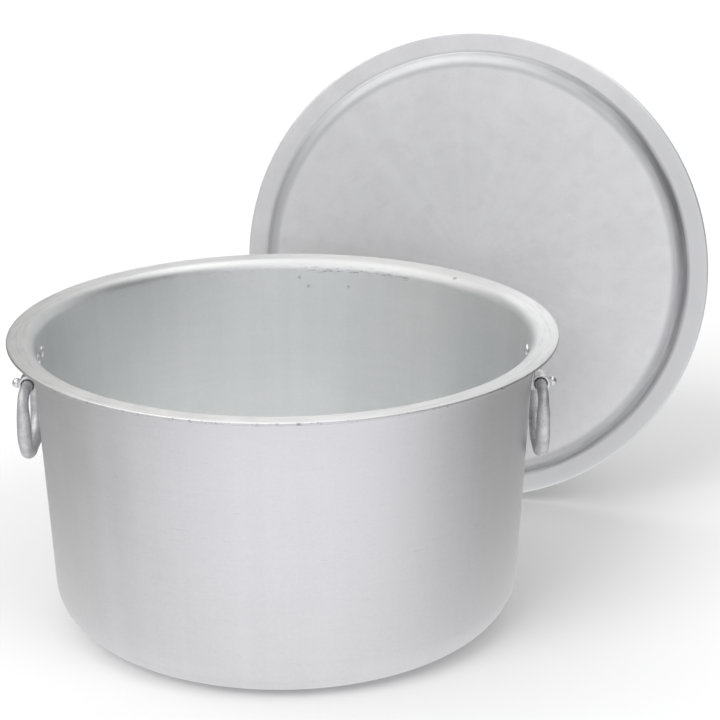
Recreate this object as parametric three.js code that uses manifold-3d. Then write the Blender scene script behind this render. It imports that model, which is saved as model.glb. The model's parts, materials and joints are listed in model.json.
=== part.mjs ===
// A spun aluminium tope pot with two hanging ring handles and a loose lid that leans beside it.
// Millimetres, +Z up. The origin is the middle of the flat base, on the floor. The handles lie on the X axis.
import * as THREE from 'three';
import { mergeVertices } from 'three/addons/utils/BufferGeometryUtils.js';
import Module from 'manifold-3d';

const wasm = await Module();
wasm.setup();
const { degToRad, smoothstep, lerp } = THREE.MathUtils;

// Facets around the axis, shared by every round form that touches the pot
const POT_FACETS = 72;
const SMALL_FACETS = 24;

// Pot: one spun sheet
const POT_HEIGHT = 237;
const POT_SHEET = 2.5;
const RIM_RADIUS = 220;
const MOUTH_RADIUS = 198;
const WALL_TAPER = degToRad(2.9);
const CORNER_RADIUS = 34;
const LIP_BEND_RADIUS = 7;
const LIP_SLOPE = degToRad(1);

// Lid: a lighter sheet with a shallow plug under it and a turned-up edge
const LID_RADIUS = 216;
const LID_SHEET = 1.8;
const PLUG_CLEARANCE = 1;
const PLUG_DEPTH = 7.5;
const PLUG_WALL_SLOPE = degToRad(56);
const PLUG_EDGE_RADIUS = 12;
const LID_STEP_RADIUS = 1.2;
const LID_EDGE_RADIUS = 2.4;
const LID_EDGE_TURN = degToRad(65);

// Where the lid leans: its middle on the floor plan, the way its underside faces, and its lean from upright
const LID_PLACE_X = 163.5;
const LID_PLACE_Y = 240.5;
const LID_FACING = degToRad(-15.2);
const LID_LEAN = degToRad(8.4);

// Ring handle: a bent rod, thinner along the bar that turns in its eye
const RING_WIDTH = 70;
const RING_DROP = 54;
const RING_TOP_CORNER = 13;
const RING_BOTTOM_CORNER = 24;
const BAR_RADIUS = 4.5;
const LEG_RADIUS = 5.6;
const TAPER_START = 5;
const TAPER_LENGTH = 18;

// Eye bracket: a plate under the lip whose lower end loops around the bar
const BAR_BELOW_RIM = 46;
const BAR_PLAY = 0.75;
const STRAP_THICKNESS = 2.2;
const EYE_WIDTH = 16;
const EYE_STANDOFF = 0.4;
const PLATE_WIDTH = 36;
const PLATE_ABOVE_BAR = 30;
const PLATE_CORNER = 5;
const PIP_RADIUS = 4;
const PIP_PROUD = 2;
const PIP_ANGLE = degToRad(-2);

// Rivets
const RIVET_PITCH = 20;
const RIVET_BELOW_RIM = 23;
const RIVET_SHANK_RADIUS = 2.4;
const RIVET_HEAD_RADIUS = 4.6;
const RIVET_HEAD_HEIGHT = 2.6;

// Room left between fitted pieces
const SEAT_GAP = 0.3;
const HOLE_CLEARANCE = 0.3;

// A bent sheet in section, walked as straight runs and tangent arcs; left turns bend towards its inner face
class SheetPath {
  constructor(r, z, heading) {
    this.stations = [{ r, z, heading }];
  }

  last() {
    return this.stations[this.stations.length - 1];
  }

  line(length) {
    const { r, z, heading } = this.last();
    this.stations.push({ r: r + length * Math.cos(heading), z: z + length * Math.sin(heading), heading });
    return this;
  }

  bend(radius, angle, steps) {
    const { r, z, heading } = this.last();
    const side = Math.sign(angle);
    const centreR = r - side * radius * Math.sin(heading);
    const centreZ = z + side * radius * Math.cos(heading);
    for (let step = 1; step <= steps; step += 1) {
      const now = heading + (angle * step) / steps;
      this.stations.push({
        r: centreR + side * radius * Math.sin(now),
        z: centreZ - side * radius * Math.cos(now),
        heading: now,
      });
    }
    return this;
  }

  // Closed section of even thickness, with a round free edge; it starts and ends on the axis
  outline(thickness, edgeSteps) {
    const outer = this.stations.map(({ r, z }) => new THREE.Vector2(r, z));
    const inner = this.stations.map(({ r, z, heading }) =>
      new THREE.Vector2(r - thickness * Math.sin(heading), z + thickness * Math.cos(heading)));
    const { heading } = this.last();
    const middle = outer[outer.length - 1].clone().lerp(inner[inner.length - 1], 0.5);
    const edge = [];
    for (let step = 1; step < edgeSteps; step += 1) {
      const around = heading - Math.PI / 2 + (Math.PI * step) / edgeSteps;
      edge.push(new THREE.Vector2(
        middle.x + (thickness / 2) * Math.cos(around),
        middle.y + (thickness / 2) * Math.sin(around),
      ));
    }
    return [...outer, ...edge, ...inner.reverse()];
  }
}

// A geometry as a closed solid, with the collapsed triangles on the axis left out
function solidOf(geometry) {
  const bare = new THREE.BufferGeometry();
  bare.setAttribute('position', geometry.getAttribute('position').clone());
  if (geometry.index) bare.setIndex(geometry.index.clone());
  const joined = mergeVertices(bare, 1e-4);
  const kept = [];
  for (let i = 0; i < joined.index.count; i += 3) {
    const [a, b, c] = [0, 1, 2].map((corner) => joined.index.getX(i + corner));
    if (a !== b && b !== c && c !== a) kept.push(a, b, c);
  }
  return new wasm.Manifold(new wasm.Mesh({
    numProp: 3,
    vertProperties: new Float32Array(joined.getAttribute('position').array),
    triVerts: new Uint32Array(kept),
  }));
}

// A solid back as a three.js geometry
function geometryOf(solid) {
  const mesh = solid.getMesh();
  const geometry = new THREE.BufferGeometry();
  geometry.setAttribute('position', new THREE.BufferAttribute(new Float32Array(mesh.vertProperties), 3));
  geometry.setIndex(new THREE.BufferAttribute(new Uint32Array(mesh.triVerts), 1));
  geometry.computeVertexNormals();
  return geometry;
}

// A section turned about the Z axis
function turned(points, facets) {
  return new THREE.LatheGeometry(points, facets).rotateX(Math.PI / 2);
}

// A drawing in the X-Z plane, pushed out evenly to both sides of it along Y
function acrossY(shape, width) {
  const options = { depth: width, bevelEnabled: false, curveSegments: SMALL_FACETS / 2 };
  return new THREE.ExtrudeGeometry(shape, options).translate(0, 0, -width / 2).rotateX(Math.PI / 2);
}

// A drawing in the Y-Z plane, pushed out along X from the axis
function alongX(shape, length) {
  const options = { depth: length, bevelEnabled: false, curveSegments: SMALL_FACETS / 4 };
  return new THREE.ExtrudeGeometry(shape, options).rotateX(Math.PI / 2).rotateZ(Math.PI / 2);
}

// Outer wall: the lip bend starts where the mouth radius is reached
const lipTurn = Math.PI / 2 - WALL_TAPER - LIP_SLOPE;
const lipBendWidth = LIP_BEND_RADIUS * (Math.cos(WALL_TAPER) - Math.sin(LIP_SLOPE));
const lipBendRise = LIP_BEND_RADIUS * (Math.cos(LIP_SLOPE) - Math.sin(WALL_TAPER));
const wallTopRadius = MOUTH_RADIUS + POT_SHEET * Math.cos(WALL_TAPER);
const lipLength = (RIM_RADIUS - POT_SHEET / 2 - wallTopRadius - lipBendWidth) / Math.cos(LIP_SLOPE);
const lipTopRise = lipBendRise + lipLength * Math.sin(LIP_SLOPE) + (POT_SHEET / 2) * (1 + Math.cos(LIP_SLOPE));
const wallTop = POT_HEIGHT - lipTopRise;
const wallRadiusAt = (z) => wallTopRadius - (wallTop - z) * Math.tan(WALL_TAPER);
const baseFlatRadius = wallRadiusAt(CORNER_RADIUS) - CORNER_RADIUS / Math.cos(WALL_TAPER);
const cornerTop = CORNER_RADIUS * (1 - Math.sin(WALL_TAPER));
const wallLength = (wallTop - cornerTop) / Math.cos(WALL_TAPER);

const potPath = new SheetPath(0, 0, 0)
  .line(baseFlatRadius)
  .bend(CORNER_RADIUS, Math.PI / 2 - WALL_TAPER, 9)
  .line(wallLength)
  .bend(LIP_BEND_RADIUS, -lipTurn, 6)
  .line(lipLength);

// Lid section, underside first: flat plug, slanted plug wall, sharp step, flange with the lip's slope, turned edge
const stepRadius = MOUTH_RADIUS - PLUG_CLEARANCE;
const plugArcRise = PLUG_EDGE_RADIUS * (1 - Math.cos(PLUG_WALL_SLOPE));
const plugArcWidth = PLUG_EDGE_RADIUS * Math.sin(PLUG_WALL_SLOPE);
const plugWallLength = (PLUG_DEPTH - plugArcRise) / Math.sin(PLUG_WALL_SLOPE);
const plugFlatRadius = stepRadius - plugArcWidth - plugWallLength * Math.cos(PLUG_WALL_SLOPE);
const stepTurn = PLUG_WALL_SLOPE - LIP_SLOPE;
const stepWidth = LID_STEP_RADIUS * (Math.sin(PLUG_WALL_SLOPE) - Math.sin(LIP_SLOPE));
const edgeWidth = LID_EDGE_RADIUS * (Math.sin(LIP_SLOPE + LID_EDGE_TURN) - Math.sin(LIP_SLOPE));
const flangeLength = (LID_RADIUS - edgeWidth - stepRadius - stepWidth) / Math.cos(LIP_SLOPE);

const lidPath = new SheetPath(0, 0, 0)
  .line(plugFlatRadius)
  .bend(PLUG_EDGE_RADIUS, PLUG_WALL_SLOPE, 5)
  .line(plugWallLength)
  .bend(LID_STEP_RADIUS, -stepTurn, 2)
  .line(flangeLength)
  .bend(LID_EDGE_RADIUS, LID_EDGE_TURN, 3);
const lidOutline = lidPath.outline(LID_SHEET, 3);

// The lid's lowest point stands on the floor
const lidReach = Math.max(...lidOutline.map((p) => p.x * Math.cos(LID_LEAN) + p.y * Math.sin(LID_LEAN)));

// Places shared by ring, bracket and rivets
const barHeight = POT_HEIGHT - BAR_BELOW_RIM;
const rivetHeight = POT_HEIGHT - RIVET_BELOW_RIM;
const eyeBoreRadius = BAR_RADIUS + BAR_PLAY;
const eyeRadius = eyeBoreRadius + STRAP_THICKNESS;
const plateFace = SEAT_GAP + STRAP_THICKNESS;
const barReach = wallRadiusAt(barHeight) + plateFace / Math.cos(WALL_TAPER) + EYE_STANDOFF + eyeBoreRadius;
const rivetTurn = Math.asin(RIVET_PITCH / 2 / wallRadiusAt(rivetHeight));

// Ring centre line: bar on top, legs down both sides, rounded corners; its origin is the middle of the bar
function ringCurve() {
  const side = RING_WIDTH / 2;
  const round = 4 / 3 * Math.tan(Math.PI / 8);
  const curve = new THREE.CurvePath();
  const at = (y, z) => new THREE.Vector3(0, y, z);
  const corner = (from, tip, to) => curve.add(new THREE.CubicBezierCurve3(
    from, from.clone().lerp(tip, round), to.clone().lerp(tip, round), to));
  const run = (from, to) => curve.add(new THREE.LineCurve3(from, to));
  const barEnd = side - RING_TOP_CORNER;
  const footEnd = side - RING_BOTTOM_CORNER;
  const legTop = -RING_TOP_CORNER;
  const legFoot = RING_BOTTOM_CORNER - RING_DROP;
  run(at(0, 0), at(barEnd, 0));
  corner(at(barEnd, 0), at(side, 0), at(side, legTop));
  run(at(side, legTop), at(side, legFoot));
  corner(at(side, legFoot), at(side, -RING_DROP), at(footEnd, -RING_DROP));
  run(at(footEnd, -RING_DROP), at(-footEnd, -RING_DROP));
  corner(at(-footEnd, -RING_DROP), at(-side, -RING_DROP), at(-side, legFoot));
  run(at(-side, legFoot), at(-side, legTop));
  corner(at(-side, legTop), at(-side, 0), at(-barEnd, 0));
  run(at(-barEnd, 0), at(0, 0));
  return curve;
}

// The rod swells from the bar's radius to the legs' radius below the bar
function ringGeometry() {
  const around = 12;
  const along = 54;
  const curve = ringCurve();
  const geometry = new THREE.TubeGeometry(curve, along, 1, around, true);
  const place = geometry.getAttribute('position');
  const point = new THREE.Vector3();
  for (let i = 0; i < place.count; i += 1) {
    const middle = curve.getPointAt((Math.floor(i / (around + 1)) % along) / along);
    const swell = smoothstep(-middle.z, TAPER_START, TAPER_START + TAPER_LENGTH);
    point.fromBufferAttribute(place, i).sub(middle);
    point.multiplyScalar(lerp(BAR_RADIUS, LEG_RADIUS, swell)).add(middle);
    place.setXYZ(i, point.x, point.y, point.z);
  }
  return geometry;
}

// A straight band of revolution that follows the wall's slope between two distances out from it
function wallBand(near, far, bottom, top) {
  const out = (z, distance) => wallRadiusAt(z) + distance / Math.cos(WALL_TAPER);
  const inside = near === null
    ? [new THREE.Vector2(0, bottom), new THREE.Vector2(0, top)]
    : [new THREE.Vector2(out(bottom, near), bottom), new THREE.Vector2(out(top, near), top)];
  const outside = [new THREE.Vector2(out(bottom, far), bottom), new THREE.Vector2(out(top, far), top)];
  const loop = [inside[0], ...outside, inside[1]];
  return solidOf(turned(near === null ? loop : [...loop, inside[0].clone()], POT_FACETS));
}

// Rivet section on its own axis: z = 0 is the outer face of the wall, +z points out of the pot
function rivetOutline() {
  const inner = -POT_SHEET - SEAT_GAP;
  const outer = plateFace + SEAT_GAP;
  const dome = (base, way) => [0, 1, 2, 3].map((step) => {
    const around = (Math.PI / 2) * (step / 3);
    return new THREE.Vector2(
      RIVET_HEAD_RADIUS * Math.sin(around),
      base + way * RIVET_HEAD_HEIGHT * Math.cos(around),
    );
  });
  return [
    ...dome(inner, -1),
    new THREE.Vector2(RIVET_SHANK_RADIUS, inner),
    new THREE.Vector2(RIVET_SHANK_RADIUS, outer),
    ...dome(outer, 1).reverse(),
  ];
}

// Puts a form made on the Z axis square to the wall at a rivet; side +1 is right, end -1 is front
function atRivet(geometry, side, end) {
  const facing = side > 0 ? end * rivetTurn : Math.PI - end * rivetTurn;
  return geometry
    .rotateY(Math.PI / 2 + WALL_TAPER)
    .translate(wallRadiusAt(rivetHeight), 0, rivetHeight)
    .rotateZ(facing);
}

function rivetHole(side, end) {
  const length = 4 * (POT_SHEET + plateFace);
  const radius = RIVET_SHANK_RADIUS + HOLE_CLEARANCE;
  const drill = new THREE.CylinderGeometry(radius, radius, length, SMALL_FACETS).rotateX(Math.PI / 2);
  return solidOf(atRivet(drill, side, end));
}

// Bracket on the right side: plate, eye and pip, cut by the wall, the bar's bore and the rivet holes
function bracketSolid() {
  const plateBottom = barHeight - eyeRadius;
  const plateTop = barHeight + PLATE_ABOVE_BAR;
  const half = PLATE_WIDTH / 2;
  const outline = new THREE.Shape()
    .moveTo(-EYE_WIDTH / 2, plateBottom)
    .lineTo(EYE_WIDTH / 2, plateBottom)
    .lineTo(EYE_WIDTH / 2, barHeight)
    .lineTo(half, rivetHeight - RIVET_HEAD_RADIUS)
    .lineTo(half, plateTop - PLATE_CORNER)
    .absarc(half - PLATE_CORNER, plateTop - PLATE_CORNER, PLATE_CORNER, 0, Math.PI / 2)
    .lineTo(PLATE_CORNER - half, plateTop)
    .absarc(PLATE_CORNER - half, plateTop - PLATE_CORNER, PLATE_CORNER, Math.PI / 2, Math.PI)
    .lineTo(-half, rivetHeight - RIVET_HEAD_RADIUS)
    .lineTo(-EYE_WIDTH / 2, barHeight);
  const band = wallBand(SEAT_GAP, plateFace, plateBottom - PLATE_CORNER, plateTop + PLATE_CORNER);
  const plate = band.intersect(solidOf(alongX(outline, 2 * RIM_RADIUS)));
  const disc = new THREE.Shape().absarc(barReach, barHeight, eyeRadius, 0, 2 * Math.PI);
  const bore = new THREE.Shape().absarc(barReach, barHeight, eyeBoreRadius, 0, 2 * Math.PI);
  const pipDistance = eyeRadius + PIP_PROUD;
  const pip = new THREE.SphereGeometry(PIP_RADIUS, SMALL_FACETS / 2, SMALL_FACETS / 3)
    .translate(barReach + pipDistance * Math.cos(PIP_ANGLE), 0, barHeight + pipDistance * Math.sin(PIP_ANGLE));
  const wall = wallBand(null, SEAT_GAP, plateBottom - eyeRadius, plateTop + PLATE_CORNER);
  return plate
    .add(solidOf(acrossY(disc, EYE_WIDTH)))
    .add(solidOf(pip))
    .subtract(wall)
    .subtract(solidOf(acrossY(bore, 2 * EYE_WIDTH)))
    .subtract(rivetHole(1, -1))
    .subtract(rivetHole(1, 1));
}

// Finishes
const spun = { color: 0xc9c8cc, metalness: 0.9, roughness: 0.42 };
const cast = { color: 0xb9b8ba, metalness: 0.9, roughness: 0.5 };

const tope = new THREE.Group();
tope.name = 'tope_pot';

function addPiece(name, geometry, finish) {
  const piece = new THREE.Mesh(geometry, new THREE.MeshStandardMaterial(finish));
  piece.name = name;
  tope.add(piece);
  return piece;
}

const sides = { left: -1, right: 1 };
const ends = { front: -1, back: 1 };

let potSolid = solidOf(turned(potPath.outline(POT_SHEET, 4), POT_FACETS));
for (const side of Object.values(sides)) {
  for (const end of Object.values(ends)) {
    potSolid = potSolid.subtract(rivetHole(side, end));
  }
}
addPiece('pot_body', geometryOf(potSolid), spun);

const lid = addPiece('lid', geometryOf(solidOf(turned(lidOutline, POT_FACETS))), spun);
lid.position.set(LID_PLACE_X, LID_PLACE_Y, lidReach);
lid.rotation.set(-Math.PI / 2 - LID_LEAN, 0, LID_FACING, 'ZYX');

for (const [sideName, side] of Object.entries(sides)) {
  const bracket = addPiece(`${sideName}_eye_bracket`, geometryOf(bracketSolid()), cast);
  bracket.rotation.z = side > 0 ? 0 : Math.PI;
  const ring = addPiece(`${sideName}_ring_handle`, geometryOf(solidOf(ringGeometry())), cast);
  ring.position.set(side * barReach, 0, barHeight);
  for (const [endName, end] of Object.entries(ends)) {
    const rivet = turned(rivetOutline(), SMALL_FACETS * 2 / 3);
    addPiece(`${sideName}_${endName}_rivet`, geometryOf(solidOf(atRivet(rivet, side, end))), cast);
  }
}

export default tope;
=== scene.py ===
# %% [markdown]
# # A spun aluminium tope pot
# A tope is a deep cooking pot, spun from one sheet of aluminium on a lathe. This one has a flared lip, two
# ring handles that hang in riveted eyes, and a loose lid that leans behind it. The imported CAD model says
# how big every piece is and where it goes. This lesson dresses it: smooth meshes take the place of the
# faceted solids, and each piece gets the finish that the real metal shows.

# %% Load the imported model
import json
import math

import bmesh
import bpy
from mathutils import Matrix, Vector, noise


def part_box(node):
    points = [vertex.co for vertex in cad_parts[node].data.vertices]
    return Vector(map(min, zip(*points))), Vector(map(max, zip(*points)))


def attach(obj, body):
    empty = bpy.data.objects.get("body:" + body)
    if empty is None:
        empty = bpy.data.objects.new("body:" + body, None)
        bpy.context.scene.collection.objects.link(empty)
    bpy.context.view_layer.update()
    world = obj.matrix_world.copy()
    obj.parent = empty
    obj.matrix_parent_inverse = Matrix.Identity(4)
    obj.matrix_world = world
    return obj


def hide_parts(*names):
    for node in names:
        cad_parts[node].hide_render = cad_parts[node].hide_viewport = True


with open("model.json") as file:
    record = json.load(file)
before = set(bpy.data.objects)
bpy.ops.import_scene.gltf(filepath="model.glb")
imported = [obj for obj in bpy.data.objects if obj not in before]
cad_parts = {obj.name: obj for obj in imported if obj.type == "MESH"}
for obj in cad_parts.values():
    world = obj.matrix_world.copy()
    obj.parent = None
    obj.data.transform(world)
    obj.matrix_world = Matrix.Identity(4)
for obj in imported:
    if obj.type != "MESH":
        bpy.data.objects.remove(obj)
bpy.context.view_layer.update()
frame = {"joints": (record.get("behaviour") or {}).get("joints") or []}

MM = 0.001
TOUCHING = 0.01 * MM

# %% [markdown]
# ## Drawing a sheet in section
# Spun and pressed sheet is a chain of straight runs and tangent bends. One vertex can draw that chain: a
# straight run extrudes it and moves it, and a bend spins it about the bend's centre. A curve object could
# do the same, but the bmesh operators keep exact tangents and leave a plain mesh that can be spun again
# about the pot's axis.

# %% A walking vertex
def start_section():
    """A new mesh with one vertex on the axis; in the section, X is the distance from the axis."""
    bm = bmesh.new()
    vertex = bmesh.ops.create_vert(bm, co=(0, 0, 0))["vert"][0]
    return {"bm": bm, "tip": vertex, "heading": 0.0}


def run(section, length, steps=1):
    """Extrude the tip straight ahead, in equal steps."""
    ahead = Vector((math.cos(section["heading"]), 0, math.sin(section["heading"])))
    for step in range(steps):
        made = bmesh.ops.extrude_vert_indiv(section["bm"], verts=[section["tip"]])
        section["tip"] = made["verts"][0]
        bmesh.ops.translate(section["bm"], verts=[section["tip"]], vec=ahead * length / steps)


def bend(section, radius, angle, steps):
    """Spin the tip about a centre beside it; a positive angle turns left, towards the inside of the pot."""
    heading = section["heading"]
    side = math.copysign(1.0, angle)
    to_centre = Vector((-math.sin(heading), 0, math.cos(heading))) * side * radius
    made = bmesh.ops.spin(section["bm"], geom=[section["tip"]], cent=section["tip"].co + to_centre,
                          axis=(0, -1, 0), angle=angle, steps=steps)
    section["tip"] = [item for item in made["geom_last"] if isinstance(item, bmesh.types.BMVert)][0]
    section["heading"] = heading + angle


def turn_about_axis(bm, steps):
    """Spin a section into a closed round skin about Z, with one vertex where it meets the axis."""
    bmesh.ops.spin(bm, geom=bm.verts[:] + bm.edges[:], cent=(0, 0, 0), axis=(0, 0, 1),
                   angle=math.tau, steps=steps, use_merge=True)
    bmesh.ops.remove_doubles(bm, verts=bm.verts[:], dist=TOUCHING)
    bmesh.ops.recalc_face_normals(bm, faces=bm.faces[:])
    middle = min(bm.faces, key=lambda face: face.calc_center_median().xy.length)
    if middle.normal.z > 0:
        bmesh.ops.reverse_faces(bm, faces=bm.faces[:])


# %% [markdown]
# A finished bmesh becomes an object at the origin, unturned and unscaled, with its place in its mesh. Then
# a pattern on Object coordinates stays where it is when the export bakes every piece.

# %% From bmesh to piece
def to_object(bm, name):
    """Turn a bmesh into an object in the scene."""
    mesh = bpy.data.meshes.new(name)
    bm.to_mesh(mesh)
    bm.free()
    made = bpy.data.objects.new(name, mesh)
    bpy.context.scene.collection.objects.link(made)
    return made


def make_piece(bm, name, body, stands_for):
    """Turn a bmesh into a smooth object that rides on a body and stands for a CAD node."""
    for face in bm.faces:
        face.smooth = True
    piece = to_object(bm, name)
    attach(piece, body)
    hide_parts(stands_for)
    print(name, len(piece.data.polygons), "faces, stands for", stands_for)
    return piece


# %% [markdown]
# ## The pot
# The section runs from the middle of the base, round the bottom corner, up the slightly flared wall and out
# along the lip. Both faces of the sheet could be drawn, but they could drift apart. So the section is
# walked once along the outer face, spun about the axis, and given its thickness by a Solidify modifier,
# just as the real pot is one sheet of even thickness. A Bevel modifier then rounds the cut edge of the lip,
# which catches a thin line of light on the real pot.

# %% Pot sizes
POT_HEIGHT = 237 * MM
POT_SHEET = 2.5 * MM
RIM_RADIUS = 220 * MM
MOUTH_RADIUS = 198 * MM
WALL_TAPER = math.radians(2.9)
CORNER_RADIUS = 34 * MM
LIP_BEND_RADIUS = 7 * MM
LIP_SLOPE = math.radians(1)
POT_STEPS = 240

wall_top_radius = MOUTH_RADIUS + POT_SHEET * math.cos(WALL_TAPER)
lip_bend_width = LIP_BEND_RADIUS * (math.cos(WALL_TAPER) - math.sin(LIP_SLOPE))
lip_bend_rise = LIP_BEND_RADIUS * (math.cos(LIP_SLOPE) - math.sin(WALL_TAPER))
lip_length = (RIM_RADIUS - wall_top_radius - lip_bend_width) / math.cos(LIP_SLOPE)
lip_rise = lip_bend_rise + lip_length * math.sin(LIP_SLOPE) + POT_SHEET * math.cos(LIP_SLOPE)
wall_top = POT_HEIGHT - lip_rise


def wall_radius(height):
    """Radius of the pot's outer wall at a height."""
    return wall_top_radius - (wall_top - height) * math.tan(WALL_TAPER)


base_radius = wall_radius(CORNER_RADIUS) - CORNER_RADIUS / math.cos(WALL_TAPER)
wall_length = (wall_top - CORNER_RADIUS * (1 - math.sin(WALL_TAPER))) / math.cos(WALL_TAPER)
print("flat base radius, mm:", round(base_radius / MM, 1))

# %% Pot mesh
pot_section = start_section()
run(pot_section, base_radius, steps=8)
bend(pot_section, CORNER_RADIUS, math.pi / 2 - WALL_TAPER, steps=16)
run(pot_section, wall_length, steps=10)
bend(pot_section, LIP_BEND_RADIUS, LIP_SLOPE + WALL_TAPER - math.pi / 2, steps=12)
run(pot_section, lip_length, steps=3)
turn_about_axis(pot_section["bm"], POT_STEPS)
pot = make_piece(pot_section["bm"], "spun_pot", "pot", "pot_body")


# %% Thickness and rounded edges
EDGE_ROUNDING = 0.36
EDGE_SEGMENTS = 3
SHARP_ANGLE = math.radians(50)


def round_edges(piece, width):
    """Round a piece's sharp edges."""
    edge = piece.modifiers.new("rounded_edge", "BEVEL")
    edge.width = width
    edge.segments = EDGE_SEGMENTS
    edge.limit_method = "ANGLE"
    edge.angle_limit = SHARP_ANGLE


def thicken(piece, thickness):
    """Give a skin its thickness on the inner side, and round its cut edge."""
    sheet = piece.modifiers.new("sheet", "SOLIDIFY")
    sheet.thickness = thickness
    sheet.offset = -1
    sheet.use_even_offset = True
    round_edges(piece, thickness * EDGE_ROUNDING)
    print(piece.name, "is", round(thickness / MM, 2), "mm thick")


thicken(pot, POT_SHEET)

# %% [markdown]
# ## The lid
# The lid shows its underside: a shallow plug that drops into the mouth, a sharp step, a narrow flange that
# follows the lip's slope, and an edge turned up so that it doesn't cut. It is walked and spun flat, like
# the pot, and then tipped up and moved to where it leans.

# %% Lid sizes and mesh
LID_RADIUS = 216 * MM
LID_SHEET = 1.8 * MM
PLUG_CLEARANCE = 1 * MM
PLUG_DEPTH = 7.5 * MM
PLUG_WALL_SLOPE = math.radians(56)
PLUG_EDGE_RADIUS = 12 * MM
STEP_RADIUS = 1.2 * MM
LID_EDGE_RADIUS = 2.4 * MM
LID_EDGE_TURN = math.radians(65)

step_at = MOUTH_RADIUS - PLUG_CLEARANCE
plug_wall = (PLUG_DEPTH - PLUG_EDGE_RADIUS * (1 - math.cos(PLUG_WALL_SLOPE))) / math.sin(PLUG_WALL_SLOPE)
plug_flat = step_at - PLUG_EDGE_RADIUS * math.sin(PLUG_WALL_SLOPE) - plug_wall * math.cos(PLUG_WALL_SLOPE)
step_width = STEP_RADIUS * (math.sin(PLUG_WALL_SLOPE) - math.sin(LIP_SLOPE))
edge_width = LID_EDGE_RADIUS * (math.sin(LIP_SLOPE + LID_EDGE_TURN) - math.sin(LIP_SLOPE))
flange = (LID_RADIUS - edge_width - step_at - step_width) / math.cos(LIP_SLOPE)

lid_section = start_section()
run(lid_section, plug_flat, steps=8)
bend(lid_section, PLUG_EDGE_RADIUS, PLUG_WALL_SLOPE, steps=10)
run(lid_section, plug_wall)
bend(lid_section, STEP_RADIUS, LIP_SLOPE - PLUG_WALL_SLOPE, steps=5)
run(lid_section, flange, steps=4)
bend(lid_section, LID_EDGE_RADIUS, LID_EDGE_TURN, steps=7)
turn_about_axis(lid_section["bm"], POT_STEPS)
print("plug flat radius, mm:", round(plug_flat / MM, 1))

# %% [markdown]
# The lid stands on its turned edge. Its own frame is tipped past upright by the lean, turned to face a
# little to the side, and lifted until its lowest point meets the floor level that the CAD solid has.

# %% Lean the lid
LID_PLACE = Vector((163.5 * MM, 240.5 * MM, 0))
LID_FACING = math.radians(-15.2)
LID_LEAN = math.radians(8.4)

lid_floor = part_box("lid")[0][2]
tip_up = Matrix.Rotation(LID_FACING, 4, "Z") @ Matrix.Rotation(-math.pi / 2 - LID_LEAN, 4, "X")
bmesh.ops.transform(lid_section["bm"], matrix=tip_up, verts=lid_section["bm"].verts[:])
lowest = min(v.co.z for v in lid_section["bm"].verts)
stand = LID_PLACE + Vector((0, 0, lid_floor - lowest))
bmesh.ops.translate(lid_section["bm"], verts=lid_section["bm"].verts[:], vec=stand)
lid = make_piece(lid_section["bm"], "leaning_lid", "lid", "lid")
thicken(lid, LID_SHEET)
lid_matrix = Matrix.Translation(stand) @ tip_up
print("lid middle, mm:", [round(value / MM, 1) for value in lid_matrix.translation])

# %% [markdown]
# ## Ring handles
# Each ring is a rod bent into a D, thinner along the bar that turns in the eye and thicker where the
# fingers pull. A ring of vertices is carried along the D: it is extruded, moved or turned, and scaled a
# little at each step. A bevelled curve would be quicker, but its ends and its taper are harder to control.

# %% Ring sizes and path
RING_WIDTH = 70 * MM
RING_DROP = 54 * MM
RING_TOP_CORNER = 13 * MM
RING_BOTTOM_CORNER = 24 * MM
BAR_RADIUS = 4.5 * MM
LEG_RADIUS = 5.6 * MM
TAPER_START = 5 * MM
TAPER_LENGTH = 18 * MM
ROD_SIDES = 28
LUMPS_PER_METRE = 110
LUMP_HEIGHT = 0.45 * MM

SIDES = ("left", "right")
hinges = {joint["name"]: Vector(joint["pos_m"]) for joint in frame["joints"] if joint["type"] == "hinge"}
bearings = {side: math.atan2(*hinges[f"{side}_ring_swing"].yx) for side in SIDES}
BAR_REACH = hinges["right_ring_swing"].xy.length
BAR_HEIGHT = hinges["right_ring_swing"].z
print("handle bearings, degrees:", {side: round(math.degrees(bearings[side]), 1) for side in SIDES})


def rod_radius(drop):
    """Radius of the rod at a drop below the bar, easing from bar to leg."""
    share = min(max((drop - TAPER_START) / TAPER_LENGTH, 0), 1)
    ease = share * share * (3 - 2 * share)
    return BAR_RADIUS + (LEG_RADIUS - BAR_RADIUS) * ease


def carry(bm, loop, matrix, centre):
    """Extrude a loop of edges, move it, and scale it to the rod's size at its new place."""
    old_radius = rod_radius(-centre.z)
    made = bmesh.ops.extrude_edge_only(bm, edges=loop)["geom"]
    verts = [item for item in made if isinstance(item, bmesh.types.BMVert)]
    new_loop = [item for item in made if isinstance(item, bmesh.types.BMEdge)
                and item.verts[0] in verts and item.verts[1] in verts]
    bmesh.ops.transform(bm, matrix=matrix, verts=verts)
    new_centre = matrix @ centre
    size = rod_radius(-new_centre.z) / old_radius
    bmesh.ops.scale(bm, vec=(size, size, size), space=Matrix.Translation(-new_centre), verts=verts)
    return new_loop, new_centre


def straight(bm, loop, centre, way, steps):
    """Carry the loop along a straight run."""
    for step in range(steps):
        loop, centre = carry(bm, loop, Matrix.Translation(way / steps), centre)
    return loop, centre


def corner(bm, loop, centre, pivot, steps):
    """Carry the loop a quarter turn about a pivot, clockwise as seen from +X."""
    turn = Matrix.Rotation(-math.pi / 2 / steps, 4, "X")
    swing = Matrix.Translation(pivot) @ turn @ Matrix.Translation(-pivot)
    for step in range(steps):
        loop, centre = carry(bm, loop, swing, centre)
    return loop, centre


def roughen(bm):
    """Move the legs' skin in and out a little, as sand leaves it; the bar stays true."""
    for vertex in bm.verts:
        below = min(max(-vertex.co.z / TAPER_LENGTH, 0), 1)
        lump = noise.noise(vertex.co * LUMPS_PER_METRE)
        vertex.co += vertex.normal * lump * LUMP_HEIGHT * below


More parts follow.
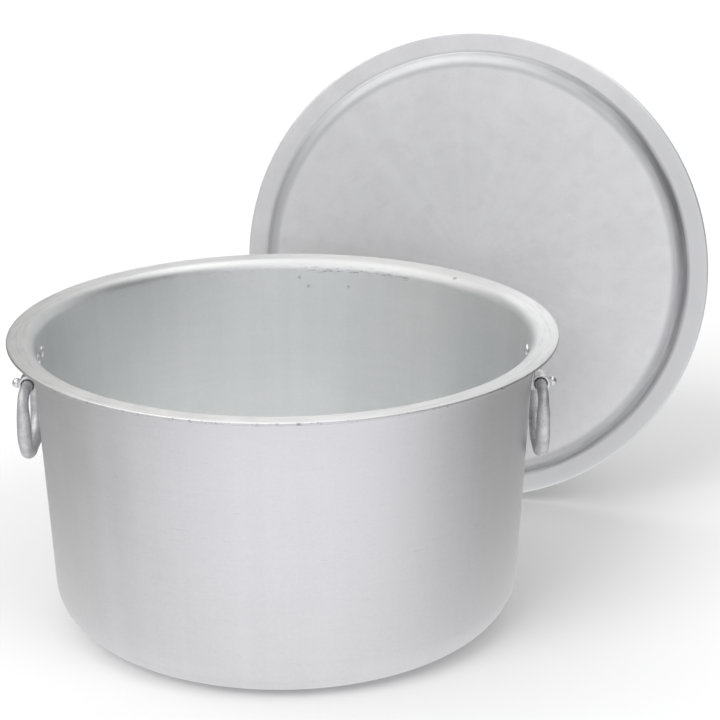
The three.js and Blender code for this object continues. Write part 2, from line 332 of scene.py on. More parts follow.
def ring_mesh():
    """A tapered rod bent into a D, its bar on the +X side, as far out and as high as the hinges."""
    bm = bmesh.new()
    facing_y = Matrix.Rotation(math.pi / 2, 4, "X")
    bmesh.ops.create_circle(bm, segments=ROD_SIDES, radius=BAR_RADIUS, matrix=facing_y)
    first = bm.edges[:]
    side = RING_WIDTH / 2
    bar_end = side - RING_TOP_CORNER
    foot_end = side - RING_BOTTOM_CORNER
    leg = RING_DROP - RING_TOP_CORNER - RING_BOTTOM_CORNER
    loop, centre = straight(bm, first, Vector(), Vector((0, bar_end, 0)), steps=4)
    loop, centre = corner(bm, loop, centre, centre - Vector((0, 0, RING_TOP_CORNER)), steps=10)
    loop, centre = straight(bm, loop, centre, Vector((0, 0, -leg)), steps=4)
    loop, centre = corner(bm, loop, centre, centre - Vector((0, RING_BOTTOM_CORNER, 0)), steps=14)
    loop, centre = straight(bm, loop, centre, Vector((0, -2 * foot_end, 0)), steps=6)
    loop, centre = corner(bm, loop, centre, centre + Vector((0, 0, RING_BOTTOM_CORNER)), steps=14)
    loop, centre = straight(bm, loop, centre, Vector((0, 0, leg)), steps=4)
    loop, centre = corner(bm, loop, centre, centre + Vector((0, RING_TOP_CORNER, 0)), steps=10)
    loop, centre = straight(bm, loop, centre, Vector((0, bar_end, 0)), steps=4)
    bmesh.ops.remove_doubles(bm, verts=bm.verts[:], dist=TOUCHING)
    bmesh.ops.recalc_face_normals(bm, faces=bm.faces[:])
    roughen(bm)
    bmesh.ops.translate(bm, verts=bm.verts[:], vec=(BAR_REACH, 0, BAR_HEIGHT))
    return bm


def turn_to(bm, bearing):
    """Turn a mesh made on the +X side to a bearing about the pot's axis."""
    bmesh.ops.rotate(bm, verts=bm.verts[:], cent=(0, 0, 0), matrix=Matrix.Rotation(bearing, 3, "Z"))


# %% [markdown]
# Both rings come from the same function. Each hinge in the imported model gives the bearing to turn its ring
# to.

# %% Both rings
rings = []
for side in SIDES:
    bm = ring_mesh()
    turn_to(bm, bearings[side])
    rings.append(make_piece(bm, f"{side}_ring", f"{side}_ring", f"{side}_ring_handle"))

# %% [markdown]
# ## Eye brackets
# Under the lip, each ring hangs in an eye: a strap that comes down from a riveted plate, goes over the bar
# and tucks in under it. The plate starts as a flat grid. Its rows are pulled in towards the eye, it is bent
# to the wall's curve and thickened. A piece cut from a tube would have the curve at once, but not the
# outline. The strap is a small rectangle spun about the bar, and a pip stands on its outer face.

# %% Bracket sizes
BAR_PLAY = 0.75 * MM
STRAP = 2.2 * MM
EYE_WIDTH = 16 * MM
PLATE_WIDTH = 36 * MM
PLATE_ABOVE_BAR = 30 * MM
PLATE_CORNER = 5 * MM
PIP_RADIUS = 4 * MM
PIP_PROUD = 2 * MM
PIP_ANGLE = math.radians(-2)
STRAP_ROUNDING = 0.66 * MM
BRACKET_ROUNDING = 0.55 * MM
SEAT_GAP = 0.3 * MM
RIVET_HEIGHT = POT_HEIGHT - 23 * MM
RIVET_PITCH = 20 * MM
RIVET_HEAD = 4.6 * MM
eye_bore = BAR_RADIUS + BAR_PLAY
eye_radius = eye_bore + STRAP


def plate_half_width(height):
    """Half the plate's width: the eye's at the bar, full at the rivets, round at the top corners."""
    low = BAR_HEIGHT
    high = RIVET_HEIGHT - RIVET_HEAD
    share = min(max((height - low) / (high - low), 0), 1)
    into_corner = max(height - (BAR_HEIGHT + PLATE_ABOVE_BAR - PLATE_CORNER), 0)
    rounding = PLATE_CORNER - math.sqrt(max(PLATE_CORNER ** 2 - into_corner ** 2, 0))
    return EYE_WIDTH / 2 + (PLATE_WIDTH - EYE_WIDTH) / 2 * share - rounding


def plate_mesh(bm):
    """The riveted plate, bent to the wall and thickened outwards."""
    bottom = BAR_HEIGHT - eye_bore
    top = BAR_HEIGHT + PLATE_ABOVE_BAR
    made = bmesh.ops.create_grid(bm, x_segments=16, y_segments=36, size=0.5)
    for vertex in made["verts"]:
        height = bottom + (vertex.co.y + 0.5) * (top - bottom)
        across = vertex.co.x * 2 * plate_half_width(height)
        near = wall_radius(height) + SEAT_GAP
        vertex.co = (math.sqrt(near * near - across * across), across, height)
    faces = list({face for vertex in made["verts"] for face in vertex.link_faces})
    bmesh.ops.recalc_face_normals(bm, faces=faces)
    if faces[0].normal.x < 0:
        bmesh.ops.reverse_faces(bm, faces=faces)
    bmesh.ops.solidify(bm, geom=faces, thickness=-STRAP)


def strap_mesh(bm):
    """The strap around the bar: a rounded rectangle spun about the bar's axis."""
    middle = Vector((BAR_REACH, 0, BAR_HEIGHT))
    made = bmesh.ops.create_grid(bm, x_segments=1, y_segments=1, size=0.5)
    across = Matrix.Diagonal((STRAP, EYE_WIDTH, 1, 1))
    out = Matrix.Translation(middle + Vector((eye_bore + STRAP / 2, 0, 0)))
    bmesh.ops.transform(bm, matrix=out @ across, verts=made["verts"])
    face = made["verts"][0].link_faces[0]
    rounded = bmesh.ops.bevel(bm, geom=list(face.verts), offset=STRAP_ROUNDING, segments=3, profile=0.5,
                              affect="VERTICES", material=-1)
    edges = list({edge for vertex in rounded["verts"] for edge in vertex.link_edges})
    faces = list({face for edge in edges for face in edge.link_faces})
    bmesh.ops.delete(bm, geom=faces, context="FACES_ONLY")
    bmesh.ops.spin(bm, geom=edges + list({v for e in edges for v in e.verts}), cent=middle, axis=(0, 1, 0),
                   angle=math.tau, steps=48, use_merge=True)


def pip_mesh(bm):
    """The round pip on the strap's outer face."""
    reach = eye_radius + PIP_PROUD
    place = Vector((BAR_REACH + reach * math.cos(PIP_ANGLE), 0, BAR_HEIGHT + reach * math.sin(PIP_ANGLE)))
    bmesh.ops.create_uvsphere(bm, u_segments=28, v_segments=18, radius=PIP_RADIUS,
                              matrix=Matrix.Translation(place))


# %% Both brackets
brackets = []
for side in SIDES:
    bm = bmesh.new()
    plate_mesh(bm)
    strap_mesh(bm)
    pip_mesh(bm)
    bmesh.ops.recalc_face_normals(bm, faces=bm.faces[:])
    turn_to(bm, bearings[side])
    bracket = make_piece(bm, f"{side}_eye", "pot", f"{side}_eye_bracket")
    round_edges(bracket, BRACKET_ROUNDING)
    brackets.append(bracket)

# %% [markdown]
# ## Rivets
# Two rivets hold each plate. Their heads show inside the pot, just under the lip, as small domes. Each head
# is half of a squashed ball. The open edges of the two halves are drawn in to the shank and bridged, so
# that one rivet is one closed mesh, and it is turned square to the wall.

# %% Rivet meshes
RIVET_SHANK = 2.4 * MM
RIVET_DOME = 2.6 * MM
ENDS = {"front": -1, "back": 1}
inner_seat = -POT_SHEET - SEAT_GAP
outer_seat = STRAP + 2 * SEAT_GAP


def rivet_mesh():
    """A rivet on the Z axis, where z = 0 is the wall's outer face."""
    bm = bmesh.new()
    for seat, way in ((inner_seat, -1), (outer_seat, 1)):
        squash = Matrix.Diagonal((1, 1, RIVET_DOME / RIVET_HEAD, 1))
        place = Matrix.Translation((0, 0, seat)) @ squash
        dome = bmesh.ops.create_uvsphere(bm, u_segments=24, v_segments=16, radius=RIVET_HEAD, matrix=place)
        half = [v for v in dome["verts"] if (v.co.z - seat) * way < -TOUCHING]
        bmesh.ops.delete(bm, geom=half, context="VERTS")
    rims = [edge for edge in bm.edges if edge.is_boundary]
    inset = bmesh.ops.extrude_edge_only(bm, edges=rims)["geom"]
    inner = [item for item in inset if isinstance(item, bmesh.types.BMVert)]
    shrink = RIVET_SHANK / RIVET_HEAD
    bmesh.ops.scale(bm, vec=(shrink, shrink, 1), verts=inner)
    bmesh.ops.bridge_loops(bm, edges=[edge for edge in bm.edges if edge.is_boundary])
    bmesh.ops.recalc_face_normals(bm, faces=bm.faces[:])
    return bm


rivets = []
rivet_turn = math.asin(RIVET_PITCH / 2 / wall_radius(RIVET_HEIGHT))
for side in SIDES:
    towards_back = math.copysign(rivet_turn, math.cos(bearings[side]))
    for end_name, end in ENDS.items():
        square = Matrix.Rotation(math.pi / 2 + WALL_TAPER, 4, "Y")
        out = Matrix.Translation((wall_radius(RIVET_HEIGHT), 0, RIVET_HEIGHT))
        bm = rivet_mesh()
        bmesh.ops.transform(bm, matrix=out @ square, verts=bm.verts[:])
        turn_to(bm, bearings[side] + end * towards_back)
        rivet = make_piece(bm, f"{side}_{end_name}_rivet_head", "pot", f"{side}_{end_name}_rivet")
        rivets.append(rivet)

# %% [markdown]
# ## Finishes
# All of it is bare aluminium, but each piece was made another way, and it shows. Spun sheet carries fine
# rings left by the tool. Pressed sheet is duller and gets scratched. Cast pieces have a fine, even grain.

# %% A small node builder
def new_finish(name):
    """A new metal material: its node tree and its surface shader."""
    material = bpy.data.materials.new(name)
    material.use_nodes = True
    shader = material.node_tree.nodes["Principled BSDF"]
    shader.inputs["Metallic"].default_value = 1.0
    return material, material.node_tree, shader


def node(tree, kind, values=None, links=None, **settings):
    """Add a node, set its properties and inputs, and link other sockets into it."""
    made = tree.nodes.new(kind)
    for key, value in settings.items():
        setattr(made, key, value)
    for key, value in (values or {}).items():
        made.inputs[key].default_value = value
    for key, source in (links or {}).items():
        tree.links.new(source, made.inputs[key])
    return made


def math_node(tree, operation, first, second):
    """A math node on sockets or plain numbers; gives back its result socket."""
    made = node(tree, "ShaderNodeMath", operation=operation)
    for socket, value in zip(made.inputs, (first, second)):
        if isinstance(value, (int, float)):
            socket.default_value = value
        else:
            tree.links.new(value, socket)
    return made.outputs[0]


def between(tree, source, low, high, at_low=0.0, at_high=1.0):
    """Ease from one level to another while a source goes from low to high."""
    levels = {"From Min": low, "From Max": high, "To Min": at_low, "To Max": at_high}
    made = node(tree, "ShaderNodeMapRange", levels, {"Value": source}, interpolation_type="SMOOTHSTEP")
    return made.outputs[0]


def along(tree, vector, direction):
    """How far a vector points along a fixed direction: 1 is straight along it and -1 straight back."""
    made = node(tree, "ShaderNodeVectorMath", {1: direction}, {0: vector}, operation="DOT_PRODUCT")
    return made.outputs["Value"]


def speckle(tree, vector, scale, detail):
    """Plain noise from 0 to 1."""
    return node(tree, "ShaderNodeTexNoise", {"Scale": scale, "Detail": detail, "Roughness": 0.6},
                {"Vector": vector}).outputs["Fac"]


def shade(tree, dark, light, share):
    """Ease from a dark colour to a light one by a share from 0 to 1."""
    return node(tree, "ShaderNodeMix", {6: dark, 7: light}, {0: share}, data_type="RGBA").outputs[2]


# %% [markdown]
# ### Spun sheet
# The rings run around the axis. Dividing x and y by the radius gives a direction that changes slowly around
# the pot and never jumps, unlike an angle, which would leave a seam. Height and radius are stretched a
# great deal, so the noise becomes fine rings. Broad clouds of tint and roughness keep the metal from
# looking like plastic. The fine rings also spread each reflection up and down the wall, so the shader is
# told to stretch it across the rings.

# %% Sheet coordinates
def start_sheet(name, matrix):
    """A sheet finish to work on: its nodes, and its own radius, height and direction around the axis."""
    material, tree, shader = new_finish(name)
    place = node(tree, "ShaderNodeTexCoord").outputs["Object"]
    back = matrix.inverted()
    local = node(tree, "ShaderNodeMapping", {"Location": back.translation, "Rotation": back.to_euler()},
                 {"Vector": place}).outputs["Vector"]
    x, y, height = node(tree, "ShaderNodeSeparateXYZ", links={0: local}).outputs
    flat = node(tree, "ShaderNodeCombineXYZ", links={0: x, 1: y}).outputs[0]
    radius = node(tree, "ShaderNodeVectorMath", links={0: flat}, operation="LENGTH").outputs["Value"]
    way = node(tree, "ShaderNodeVectorMath", links={0: flat}, operation="NORMALIZE").outputs[0]
    return {"material": material, "tree": tree, "shader": shader, "local": local, "x": x, "y": y,
            "height": height, "radius": radius, "way": way}


def ring_noise(sheet, around, across, detail):
    """Noise drawn out into rings about the axis: a few patches around, many per metre across."""
    tree = sheet["tree"]
    spread = node(tree, "ShaderNodeVectorMath", {"Scale": around}, {0: sheet["way"]}, operation="SCALE")
    walk = math_node(tree, "ADD", sheet["radius"], sheet["height"])
    lift = node(tree, "ShaderNodeCombineXYZ", links={2: math_node(tree, "MULTIPLY", walk, across)})
    ends = {0: spread.outputs[0], 1: lift.outputs[0]}
    vector = node(tree, "ShaderNodeVectorMath", links=ends, operation="ADD").outputs[0]
    return speckle(tree, vector, scale=1.0, detail=detail)


# %% Bare sheet
ROUGH_SPREAD = 0.05
MIX_LOW = 0.36
MIX_HIGH = 0.64


def bare_sheet(sheet, light, dark, rough):
    """Colour, roughness and relief of clean sheet: a mix of noises, each with its share."""
    tree = sheet["tree"]
    fine_rings = ring_noise(sheet, around=3.0, across=1600, detail=3)
    broad_rings = ring_noise(sheet, around=1.6, across=130, detail=4)
    streaks_up = ring_noise(sheet, around=9.0, across=0.0, detail=3)
    clouds = speckle(tree, sheet["local"], scale=14.0, detail=5)
    grain = speckle(tree, sheet["local"], scale=420.0, detail=3)
    shares = ((broad_rings, 0.1), (streaks_up, 0.26), (clouds, 0.28), (grain, 0.24))
    mix = math_node(tree, "MULTIPLY", fine_rings, 0.12)
    for layer, share in shares:
        mix = math_node(tree, "ADD", mix, math_node(tree, "MULTIPLY", layer, share))
    sheet["colour"] = shade(tree, dark, light, between(tree, mix, MIX_LOW, MIX_HIGH))
    sheet["rough"] = between(tree, mix, MIX_LOW, MIX_HIGH, rough - ROUGH_SPREAD, rough + ROUGH_SPREAD)
    sheet["relief"] = fine_rings


# %% Close a sheet's finish
UP = (0, 0, 1)
QUARTER_TURN = 0.25


def close_sheet(sheet, brushed):
    """Link the finished colour, roughness and relief to the shader; brushed stretches reflections."""
    tree, shader = sheet["tree"], sheet["shader"]
    tree.links.new(sheet["colour"], shader.inputs["Base Color"])
    tree.links.new(sheet["rough"], shader.inputs["Roughness"])
    bump = node(tree, "ShaderNodeBump", {"Strength": 0.12, "Distance": 0.0004}, {"Height": sheet["relief"]})
    tree.links.new(bump.outputs[0], shader.inputs["Normal"])
    if brushed:
        around = node(tree, "ShaderNodeVectorMath", {0: UP}, {1: sheet["way"]}, operation="CROSS_PRODUCT")
        tree.links.new(around.outputs[0], shader.inputs["Tangent"])
        shader.inputs["Anisotropic"].default_value = brushed
        shader.inputs["Anisotropic Rotation"].default_value = QUARTER_TURN
    print("finish", sheet["material"].name, "has", len(tree.nodes), "nodes")
    return sheet["material"]


# %% [markdown]
# ### Wear and painted light on the pot
# A pot's lip is what gets knocked. Small dark nicks sit along its cut edge, and the whole edge is painted a
# little darker, a painted shade that dims the line of light on its rounding. The top of the lip is painted
# lighter than the wall, a painted highlight. Along the back of the mouth the lid has scuffed a broken grey
# line, and the back of the lip is painted darker, a painted shade. A dark pit shows on the lip near the
# right, and three faint ones inside, at the back. Short faint lines run around the wall. An image could be
# painted for all this, but it would need a map of the surface. Here each mark is a colour laid over the
# sheet by masks: where it is in the section, where it is around the pot, and a noise that breaks it up.

# %% Marks and painted light on the lip
# Dark for the nicks and pits. Along the lip's edge it is also a painted shade.
NICK_PIT_AND_EDGE_SHADE = (0.36, 0.35, 0.35, 1)
SCUFF = (0.42, 0.42, 0.43, 1)
# The next colour is a painted highlight that makes the top of the lip lighter than the wall.
LIP_HIGHLIGHT = (0.98, 0.98, 0.972, 1)
# The next colour is painted shade on the back of the lip.
BACK_LIP_SHADE = (0.5, 0.5, 0.497, 1)


def mark(sheet, colour, *masks):
    """Lay a colour over a sheet by the product of masks, each a socket or a number from 0 to 1."""
    tree = sheet["tree"]
    share = masks[0]
    for mask in masks[1:]:
        share = math_node(tree, "MULTIPLY", share, mask)
    made = node(tree, "ShaderNodeMix", {7: colour}, {0: share, 6: sheet["colour"]}, data_type="RGBA")
    sheet["colour"] = made.outputs[2]


def add_nicks_and_edge_shade(sheet):
    """Dark nicks in the lip's outermost edge, over painted shade all along it that dims its highlight."""
    tree = sheet["tree"]
    edge = between(tree, sheet["radius"], RIM_RADIUS - 1.6 * MM, RIM_RADIUS - 0.4 * MM)
    broken = ring_noise(sheet, around=60.0, across=300, detail=2)
    # At its floor of 0.2 this mark is painted shade along the whole edge. Above that it is nicks.
    mark(sheet, NICK_PIT_AND_EDGE_SHADE, edge, between(tree, broken, 0.54, 0.74, at_low=0.2))


def add_lip_highlight_and_marks(sheet):
    """Painted highlight: the lip is made lighter than the wall, with long grey marks around it."""
    tree = sheet["tree"]
    lip = between(tree, sheet["radius"], MOUTH_RADIUS + 3 * MM, MOUTH_RADIUS + 8 * MM)
    # Painted highlight: the top of the lip is made lighter.
    mark(sheet, LIP_HIGHLIGHT, lip, 0.8)
    long_marks = ring_noise(sheet, around=7.0, across=420, detail=4)
    mark(sheet, SCUFF, lip, between(tree, long_marks, 0.45, 0.7, at_high=0.2))


def add_scuffs(sheet):
    """A broken line of rub marks where the lid meets the mouth, most at the back."""
    tree = sheet["tree"]
    broken = between(tree, ring_noise(sheet, around=26.0, across=700, detail=3), 0.52, 0.66)
    under_lip = between(tree, sheet["height"], wall_top - 3 * MM, wall_top)
    to_mouth = between(tree, sheet["radius"], MOUTH_RADIUS + 1 * MM, MOUTH_RADIUS + 2.5 * MM, 1.0, 0.0)
    from_left = between(tree, sheet["x"], 0.0, 30 * MM, at_low=0.25)
    to_right = between(tree, sheet["x"], 90 * MM, 130 * MM, at_low=1.0, at_high=0.15)
    back = between(tree, sheet["y"], 60 * MM, 180 * MM, at_low=0.1, at_high=0.8)
    mark(sheet, SCUFF, broken, under_lip, to_mouth, from_left, to_right, back)


def add_back_lip_shade(sheet):
    """Painted shade: the back of the lip is painted darker."""
    tree = sheet["tree"]
    to_edge = between(tree, sheet["radius"], MOUTH_RADIUS, MOUTH_RADIUS + 12 * MM, at_low=0.72, at_high=0.6)
    lip = between(tree, sheet["height"], wall_top + 2 * MM, wall_top + 6 * MM)
    from_left = between(tree, sheet["x"], -140 * MM, 20 * MM)
    back = between(tree, sheet["y"], 40 * MM, 160 * MM)
    # Painted shade: the back of the lip is made darker.
    mark(sheet, BACK_LIP_SHADE, to_edge, lip, from_left, back)


# %% Marks on the wall
RUB_LINE = (0.58, 0.58, 0.59, 1)
PIT_FLOOR = 0.4


def add_rub_lines(sheet):
    """Short faint lines around the wall, from years of turning and stacking."""
    lines = ring_noise(sheet, around=22.0, across=700, detail=2)
    mark(sheet, RUB_LINE, between(sheet["tree"], lines, 0.66, 0.76, at_high=0.4))


def add_pit(sheet, place, size, depth):
    """One small pit; its depth from 0 to 1 is how dark it is."""
    tree = sheet["tree"]
    offset = node(tree, "ShaderNodeVectorMath", {1: place}, {0: sheet["local"]}, operation="DISTANCE")
    mark(sheet, NICK_PIT_AND_EDGE_SHADE, between(tree, offset.outputs["Value"], size * PIT_FLOOR, size, depth, 0.0))


# %% Outside and inside of the pot
OUTSIDE = {"light": (0.80, 0.797, 0.81, 1), "dark": (0.72, 0.717, 0.73, 1), "rough": 0.47}
INSIDE = {"light": (0.93, 0.94, 0.938, 1), "dark": (0.86, 0.875, 0.873, 1), "rough": 0.45}
BRUSHED = 0.5
LIP_PIT = (144 * MM, 142 * MM, POT_HEIGHT)
LIP_PIT_SIZE = 3.4 * MM
WALL_PITS = ((8 * MM, 198 * MM, 221 * MM), (16 * MM, 197 * MM, 213 * MM), (52 * MM, 191 * MM, 214 * MM))
WALL_PIT_SIZE = 2.2 * MM

outer_sheet = start_sheet("spun_outside", Matrix.Identity(4))
bare_sheet(outer_sheet, **OUTSIDE)
add_rub_lines(outer_sheet)
add_nicks_and_edge_shade(outer_sheet)
inner_sheet = start_sheet("spun_inside", Matrix.Identity(4))
bare_sheet(inner_sheet, **INSIDE)
add_nicks_and_edge_shade(inner_sheet)
add_lip_highlight_and_marks(inner_sheet)
add_back_lip_shade(inner_sheet)
add_scuffs(inner_sheet)
add_pit(inner_sheet, LIP_PIT, LIP_PIT_SIZE, depth=1.0)
for pit in WALL_PITS:
    add_pit(inner_sheet, pit, WALL_PIT_SIZE, depth=0.4)
pot.data.materials.append(close_sheet(outer_sheet, BRUSHED))
pot.data.materials.append(close_sheet(inner_sheet, BRUSHED))
pot.modifiers["sheet"].material_offset = 1

# %% [markdown]
# ### Wear and painted shade on the lid
# Painted shade darkens the step around the plug, most of it at the lower right, where the slope faces away
# from the light: the sheet's own x points right and its y down. The slope is also painted darker all round,
# a painted shade that dims its highlight, and the flange just outside the step is painted darker at the
# lower right. The flat of the plug has long faint scratches in several directions, and hands have left
# cloudy smudges. A scratch set is a direction in radians, and how fast the noise changes along and across
# it.

# %% Marks and painted shade on the lid
# The next colour is painted shade in the step around the plug.
STEP_SHADE = (0.30, 0.30, 0.31, 1)
# The side where the step is most shaded, the lower right.
SHADED_SIDE = (0.87, 0.5, 0)
# The next colour is painted shade on the plug's slope and on the flange.
SLOPE_AND_FLANGE_SHADE = (0.70, 0.706, 0.714, 1)
SCRATCH = (0.98, 0.98, 0.985, 1)
SMUDGE = (0.73, 0.73, 0.74, 1)
SCRATCH_SETS = ((0.5, 9.0, 700.0), (1.7, 12.0, 620.0), (2.6, 7.0, 800.0))


def add_step_shade(sheet):
    """Painted shade around the plug that ends just past the step, most of it at the lower right."""
    tree = sheet["tree"]
    rising = between(tree, sheet["radius"], plug_flat - 4 * MM, plug_flat + 9 * MM, at_high=0.9)
    end = between(tree, sheet["radius"], step_at + 0.5 * MM, step_at + 4 * MM, at_low=1.0, at_high=0.0)
    patches = between(tree, ring_noise(sheet, around=4.0, across=200, detail=3), 0.2, 0.7, at_low=0.6)
    side = between(tree, along(tree, sheet["way"], SHADED_SIDE), -1.0, 0.5, at_low=0.3)
    # Painted shade in the step, most at the lower right.
    mark(sheet, STEP_SHADE, rising, end, patches, side)


def add_slope_and_flange_shade(sheet):
    """Painted shade: a darker plug slope to dim its highlight, and a darker flange at the lower right."""
    tree = sheet["tree"]
    slope = between(tree, sheet["radius"], plug_flat - 3 * MM, plug_flat + 2 * MM, at_high=0.9)
    step = between(tree, sheet["radius"], step_at - 1 * MM, step_at + 1 * MM, at_low=1.0, at_high=0.0)
    # Painted shade that dims the slope's highlight.
    mark(sheet, SLOPE_AND_FLANGE_SHADE, slope, step)
    outside_step = between(tree, sheet["radius"], step_at + 1 * MM, step_at + 3 * MM, at_high=0.7)
    side = between(tree, along(tree, sheet["way"], SHADED_SIDE), -0.3, 0.7)
    # Painted shade on the flange at the lower right.
    mark(sheet, SLOPE_AND_FLANGE_SHADE, outside_step, side)


def add_scratches(sheet, direction, changes_along, changes_across):
    """Long faint scratches in one direction: noise stretched so far that only lines are left."""
    tree = sheet["tree"]
    turned = node(tree, "ShaderNodeVectorRotate", {"Angle": direction}, {"Vector": sheet["local"]},
                  rotation_type="Z_AXIS").outputs[0]
    drawn = node(tree, "ShaderNodeVectorMath", {1: (changes_along, changes_across, 0)}, {0: turned},
                 operation="MULTIPLY").outputs[0]
    lines = speckle(tree, drawn, scale=1.0, detail=2)
    mark(sheet, SCRATCH, between(tree, lines, 0.66, 0.74, at_high=0.3))


def add_smudges(sheet):
    """Cloudy marks left by hands."""
    tree = sheet["tree"]
    clouds = speckle(tree, sheet["local"], scale=60.0, detail=6)
    mark(sheet, SMUDGE, between(tree, clouds, 0.46, 0.68, at_high=0.2))


# %% The lid's finish
PRESSED = {"light": (0.90, 0.902, 0.90, 1), "dark": (0.845, 0.847, 0.845, 1), "rough": 0.53}
lid_sheet = start_sheet("pressed_sheet", lid_matrix)
bare_sheet(lid_sheet, **PRESSED)
add_smudges(lid_sheet)
for scratch_set in SCRATCH_SETS:
    add_scratches(lid_sheet, *scratch_set)
add_slope_and_flange_shade(lid_sheet)
add_step_shade(lid_sheet)
lid.data.materials.append(close_sheet(lid_sheet, brushed=0.0))

# %% [markdown]
# ### Cast pieces
# The rings are dull: sand leaves a grain, and handling polishes only the high spots. The eyes and rivets
# were hammered, which leaves the same kind of surface, but brighter. One mix of a fine and a coarse noise
# drives colour, roughness and relief together, so that a hollow is both darker and duller.

# %% Cast material
CAST_LOW = 0.35
CAST_HIGH = 0.65
CAST_SPREAD = 0.06


def cast_finish(name, light, dark, rough):
    """Grainy cast aluminium with duller hollows."""
    material, tree, shader = new_finish(name)
    place = node(tree, "ShaderNodeTexCoord").outputs["Object"]
    grain = math_node(tree, "MULTIPLY", speckle(tree, place, scale=900.0, detail=3), 0.4)
    lumps = math_node(tree, "MULTIPLY", speckle(tree, place, scale=130.0, detail=4), 0.6)
    mix = math_node(tree, "ADD", grain, lumps)
    colour = shade(tree, dark, light, between(tree, mix, CAST_LOW, CAST_HIGH))
    tree.links.new(colour, shader.inputs["Base Color"])
    dullness = between(tree, mix, CAST_LOW, CAST_HIGH, rough + CAST_SPREAD, rough - CAST_SPREAD)
    tree.links.new(dullness, shader.inputs["Roughness"])
    bump = node(tree, "ShaderNodeBump", {"Strength": 0.3, "Distance": 0.0003}, {"Height": mix})
    tree.links.new(bump.outputs[0], shader.inputs["Normal"])
    print("finish", name, "has", len(tree.nodes), "nodes")
    return material


# %% Rings, eyes and rivets
CAST = {"light": (0.74, 0.74, 0.745, 1), "dark": (0.58, 0.58, 0.585, 1), "rough": 0.56}
BRIGHT = {"light": (0.88, 0.88, 0.885, 1), "dark": (0.70, 0.70, 0.705, 1), "rough": 0.34}
cast = cast_finish("cast_aluminium", **CAST)
for piece in rings:
    piece.data.materials.append(cast)
bright = cast_finish("bright_aluminium", **BRIGHT)
for piece in brackets + rivets:
    piece.data.materials.append(bright)

# %% [markdown]
# ## Stage, light and camera
# The stage is a plain product shot: a white floor, soft light from above and in front, and nothing else.
# Bare metal shows what is around it, so the light is built in parts. Two soft suns, hidden from
# reflections, light the floor and drop a shadow to either side. The sky is a sum of soft patches, each a
# direction and a strength, and it is what the metal mirrors: bright overhead and in front, grey to the
# sides. A pale card on the floor, which only reflections see, lightens the foot of the pot.

# %% Floor
FLOOR_GREY = (0.66, 0.66, 0.66, 1)
FLOOR_ROUGH = 0.9
FLOOR_REACH = 30.0
floor_bm = bmesh.new()
bmesh.ops.create_grid(floor_bm, x_segments=2, y_segments=2, size=FLOOR_REACH)
floor = to_object(floor_bm, "floor")
paper = bpy.data.materials.new("floor_paper")
paper.use_nodes = True
paper_shader = paper.node_tree.nodes["Principled BSDF"]
paper_shader.inputs["Base Color"].default_value = FLOOR_GREY
paper_shader.inputs["Roughness"].default_value = FLOOR_ROUGH
paper_shader.inputs["Specular IOR Level"].default_value = 0.0
floor.data.materials.append(paper)
floor.visible_glossy = False
print("floor is", 2 * FLOOR_REACH, "m wide and is not mirrored")

# %% [markdown]
# Each patch of sky is a direction, the cosines where it starts and where it is full, its strength and its
# tint. The curtain's strength is below zero: it takes light away on the left, as a dark screen would.

# %% Studio sky
world = bpy.data.worlds.new("studio")
bpy.context.scene.world = world
world.use_nodes = True
sky = world.node_tree
sky_way = node(sky, "ShaderNodeTexCoord").outputs["Generated"]


def glow(toward, start, end, strength):
    """A soft patch of sky around a direction; start and end are cosines of the angle to its middle."""
    near = along(sky, sky_way, Vector(toward).normalized())
    return between(sky, near, start, end, at_high=strength)


COOL = (0.985, 0.977, 1.04)
PLAIN = (1.0, 1.0, 1.0)
WARM = (1.01, 1.0, 0.975)
SKY_PATCHES = {
    "overhead": ((-0.2, -0.15, 0.97), 0.4, 0.9, 1.5, PLAIN),
    "front": ((-0.03, -0.81, -0.57), 0.0, 0.95, 0.71, COOL),
    "right": ((0.85, -0.45, -0.3), 0.7, 1.0, 0.07, COOL),
    "ground": ((0, 0, -1), -0.1, 0.35, 0.34, WARM),
    "curtain": ((-0.8, -0.58, 0.2), 0.75, 0.98, -0.24, PLAIN),
    "back": ((0.25, 0.9, 0.36), 0.72, 0.97, 0.42, PLAIN),
    "left": ((-0.9, 0, 0.45), 0.6, 1.0, 0.35, WARM),
}
DIM_SKY = (0.1, 0.1, 0.1)
sky_light = node(sky, "ShaderNodeVectorMath", {0: DIM_SKY}, operation="ADD").outputs[0]
for toward, start, end, strength, tint in SKY_PATCHES.values():
    patch = node(sky, "ShaderNodeVectorMath", {0: tint}, {"Scale": glow(toward, start, end, strength)},
                 operation="SCALE")
    both = {0: sky_light, 1: patch.outputs[0]}
    sky_light = node(sky, "ShaderNodeVectorMath", links=both, operation="ADD").outputs[0]
sky.links.new(sky_light, sky.nodes["Background"].inputs["Color"])
print("sky patches:", ", ".join(SKY_PATCHES))

# %% [markdown]
# The card is densest under the pot and fades out to its rim, so that the wall darkens softly with height.

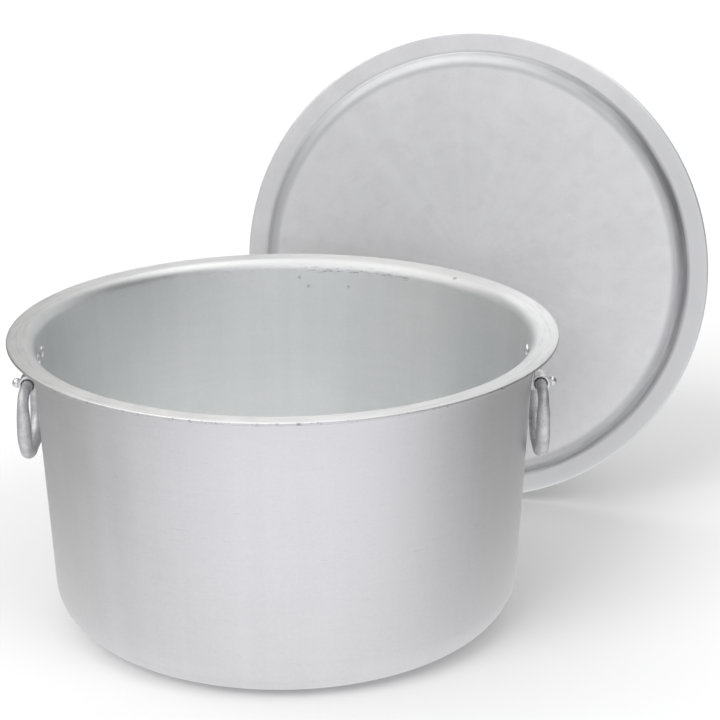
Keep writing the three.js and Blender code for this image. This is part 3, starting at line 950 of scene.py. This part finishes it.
# %% Reflector card
CARD_RADIUS = 0.55
CARD_FADE_START = 0.21
CARD_COVER = 0.85
CARD_STRENGTH = 0.92
CARD_HEIGHT = 0.5 * MM
card_bm = bmesh.new()
bmesh.ops.create_circle(card_bm, cap_ends=True, segments=96, radius=CARD_RADIUS,
                        matrix=Matrix.Translation((0, 0, CARD_HEIGHT)))
card = to_object(card_bm, "reflector_card")
card.visible_camera = False
card.visible_diffuse = False
card.visible_shadow = False
card_paint = bpy.data.materials.new("card_paint")
card_paint.use_nodes = True
card_tree = card_paint.node_tree
card_place = node(card_tree, "ShaderNodeTexCoord").outputs["Object"]
card_reach = node(card_tree, "ShaderNodeVectorMath", links={0: card_place}, operation="LENGTH")
card_fade = {"From Min": CARD_FADE_START, "From Max": CARD_RADIUS, "To Min": CARD_COVER, "To Max": 0.0}
card_share = node(card_tree, "ShaderNodeMapRange", card_fade, {"Value": card_reach.outputs["Value"]})
card_light = node(card_tree, "ShaderNodeEmission", {"Strength": CARD_STRENGTH}).outputs[0]
card_clear = node(card_tree, "ShaderNodeBsdfTransparent").outputs[0]
card_sockets = {0: card_share.outputs[0], 1: card_clear, 2: card_light}
card_mix = node(card_tree, "ShaderNodeMixShader", links=card_sockets)
card_tree.links.new(card_mix.outputs[0], card_tree.nodes["Material Output"].inputs["Surface"])
card.data.materials.append(card_paint)
print("card of radius", CARD_RADIUS, "m, seen only by reflections")

# %% [markdown]
# A wide sun makes a soft shadow. The one from the left is stronger, so the darker shadow falls to the
# right.

# %% Two suns
SUN_SOFTNESS = math.radians(34)
SUNS = {"key_light": (Vector((-1.9, -2.2, 2.6)), 1.7), "fill_light": (Vector((1.7, -1.6, 2.4)), 0.8)}
for name, (sun_from, strength) in SUNS.items():
    sun_data = bpy.data.lights.new(name, "SUN")
    sun_data.energy = strength
    sun_data.angle = SUN_SOFTNESS
    sun = bpy.data.objects.new(name, sun_data)
    sun.rotation_euler = (-sun_from).to_track_quat("-Z", "Y").to_euler()
    sun.visible_glossy = False
    bpy.context.scene.collection.objects.link(sun)
    print(name, "shines from", [round(value, 2) for value in sun_from.normalized()])

# %% [markdown]
# The camera's place and aim were solved from the outlines of the rim, the base and the lid. The long lens
# keeps the ellipses nearly parallel.

# %% Camera
SENSOR_MM = 36.0
CAMERA_PLACE = Vector((0.05336, -1.52806, 0.72584))
CAMERA_HEADING = math.radians(0.2885)
CAMERA_DOWN = math.radians(18.6828)
CAMERA_ROLL = math.radians(-0.1296)
LENS_MM = 100.0
camera_data = bpy.data.cameras.new("camera")
camera_data.lens = LENS_MM
camera_data.sensor_width = SENSOR_MM
camera = bpy.data.objects.new("camera", camera_data)
aim_matrix = (Matrix.Rotation(-CAMERA_HEADING, 4, "Z") @ Matrix.Rotation(math.pi / 2 - CAMERA_DOWN, 4, "X")
              @ Matrix.Rotation(CAMERA_ROLL, 4, "Z"))
camera.matrix_world = Matrix.Translation(CAMERA_PLACE) @ aim_matrix
bpy.context.scene.collection.objects.link(camera)
bpy.context.scene.camera = camera
bpy.context.scene.view_settings.view_transform = "Standard"
print("camera at", [round(value, 3) for value in CAMERA_PLACE])
